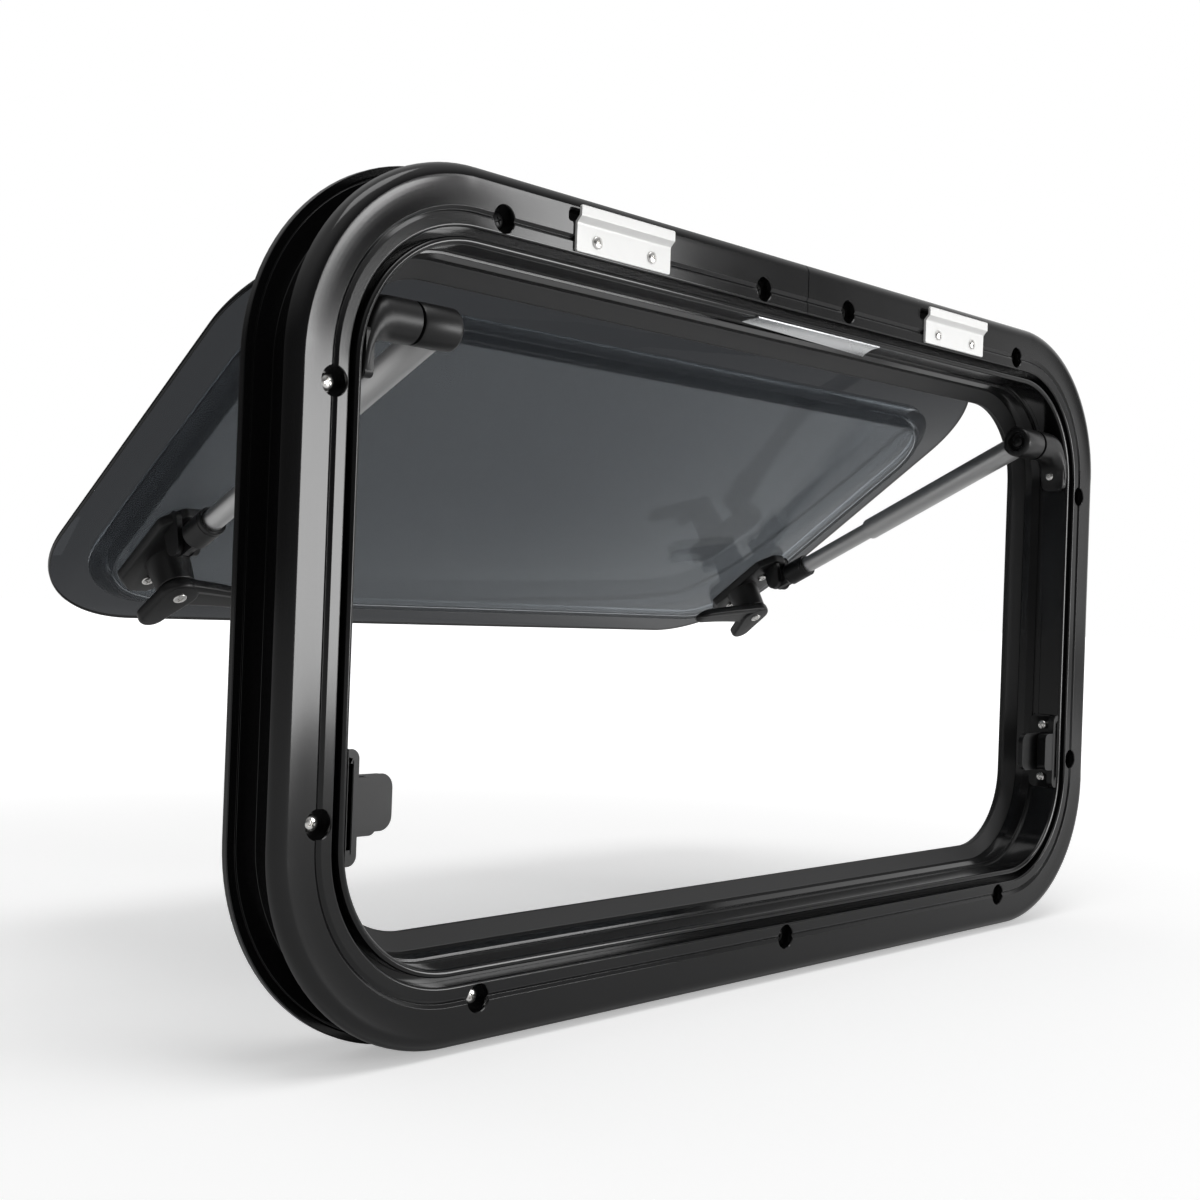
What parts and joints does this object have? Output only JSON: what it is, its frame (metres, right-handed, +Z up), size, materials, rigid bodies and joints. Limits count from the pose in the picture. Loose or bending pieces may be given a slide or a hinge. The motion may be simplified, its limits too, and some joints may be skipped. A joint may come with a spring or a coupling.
{
  "type": "caravan window",
  "caption": "Top-hung caravan window with a clamp ring, a tinted double pane, two telescopic stays and two turning latches.",
  "frame": {"origin": "bottom centre of the outer flange's back face, where the window seats on the vehicle's skin", "axes": "+Y outwards from the vehicle, +Z up, +X to the right for a viewer inside"},
  "size_m": [0.724, 0.3422, 0.424],
  "materials": {
    "frame_black": "satin",
    "screw_steel": "satin",
    "seal_rubber": "matte",
    "bare_aluminium": "satin",
    "tinted_acrylic": "gloss",
    "clear_acrylic": "gloss",
    "stay_metal": "satin",
    "fitting_black": "matte"
  },
  "bodies": {
    "frame": {"outer_frame": "frame_black", "clamp_ring": "frame_black", "ring_screws": "screw_steel", "frame_seal": "seal_rubber", "hinge_rail": "frame_black", "splice_plate": "bare_aluminium", "fitting_screws_left": "screw_steel", "stay_bracket_left": "fitting_black", "striker_left": "fitting_black", "hanger_clip_left": "bare_aluminium", "clip_screws_left": "screw_steel", "fitting_screws_right": "screw_steel", "stay_bracket_right": "fitting_black", "striker_right": "fitting_black", "hanger_clip_right": "bare_aluminium", "clip_screws_right": "screw_steel"},
    "sash": {"hinge_strip": "frame_black", "outer_pane": "tinted_acrylic", "inner_pane": "clear_acrylic", "latch_base_left": "fitting_black", "base_screws_left": "screw_steel", "latch_base_right": "fitting_black", "base_screws_right": "screw_steel"},
    "stay_left": {"stay_swivel_left": "fitting_black", "stay_tube_left": "stay_metal"},
    "rod_left": {"stay_rod_left": "stay_metal", "rod_sleeve_left": "fitting_black"},
    "lever_left": {"latch_lever_left": "fitting_black", "lever_screw_left": "screw_steel"},
    "stay_right": {"stay_swivel_right": "fitting_black", "stay_tube_right": "stay_metal"},
    "rod_right": {"stay_rod_right": "stay_metal", "rod_sleeve_right": "fitting_black"},
    "lever_right": {"latch_lever_right": "fitting_black", "lever_screw_right": "screw_steel"}
  },
  "joints": [
    {"name": "sash_hinge", "type": "hinge", "parent": "frame", "child": "sash", "pos_m": [0, 0.012, 0.3925], "axis": [1, 0, 0], "range_deg": [-55, 0]},
    {"name": "stay_left_pivot", "type": "hinge", "parent": "frame", "child": "stay_left", "pos_m": [-0.272, -0.022, 0.3355], "axis": [1, 0, 0], "range_deg": [-62.21, 0]},
    {"name": "stay_left_slide", "type": "slide", "parent": "stay_left", "child": "rod_left", "axis": [0, 0.9041, -0.4274], "range_m": [-0.05544, 0]},
    {"name": "latch_left", "type": "hinge", "parent": "sash", "child": "lever_left", "pos_m": [-0.264, 0.21338, 0.20937], "axis": [0, -0.5736, -0.8192], "range_deg": [-90, 0]},
    {"name": "stay_right_pivot", "type": "hinge", "parent": "frame", "child": "stay_right", "pos_m": [0.272, -0.022, 0.3355], "axis": [1, 0, 0], "range_deg": [-62.21, 0]},
    {"name": "stay_right_slide", "type": "slide", "parent": "stay_right", "child": "rod_right", "axis": [0, 0.9041, -0.4274], "range_m": [-0.05544, 0]},
    {"name": "latch_right", "type": "hinge", "parent": "sash", "child": "lever_right", "pos_m": [0.264, 0.21338, 0.20937], "axis": [0, -0.5736, -0.8192], "range_deg": [0, 90]}
  ],
  "couplings": [
    {"joint": "stay_left_pivot", "follows": "sash_hinge", "ratio": 1.1308},
    {"joint": "stay_left_slide", "follows": "sash_hinge", "m_per_rad": 0.057705},
    {"joint": "stay_right_pivot", "follows": "sash_hinge", "ratio": 1.1308},
    {"joint": "stay_right_slide", "follows": "sash_hinge", "m_per_rad": 0.057705}
  ]
}
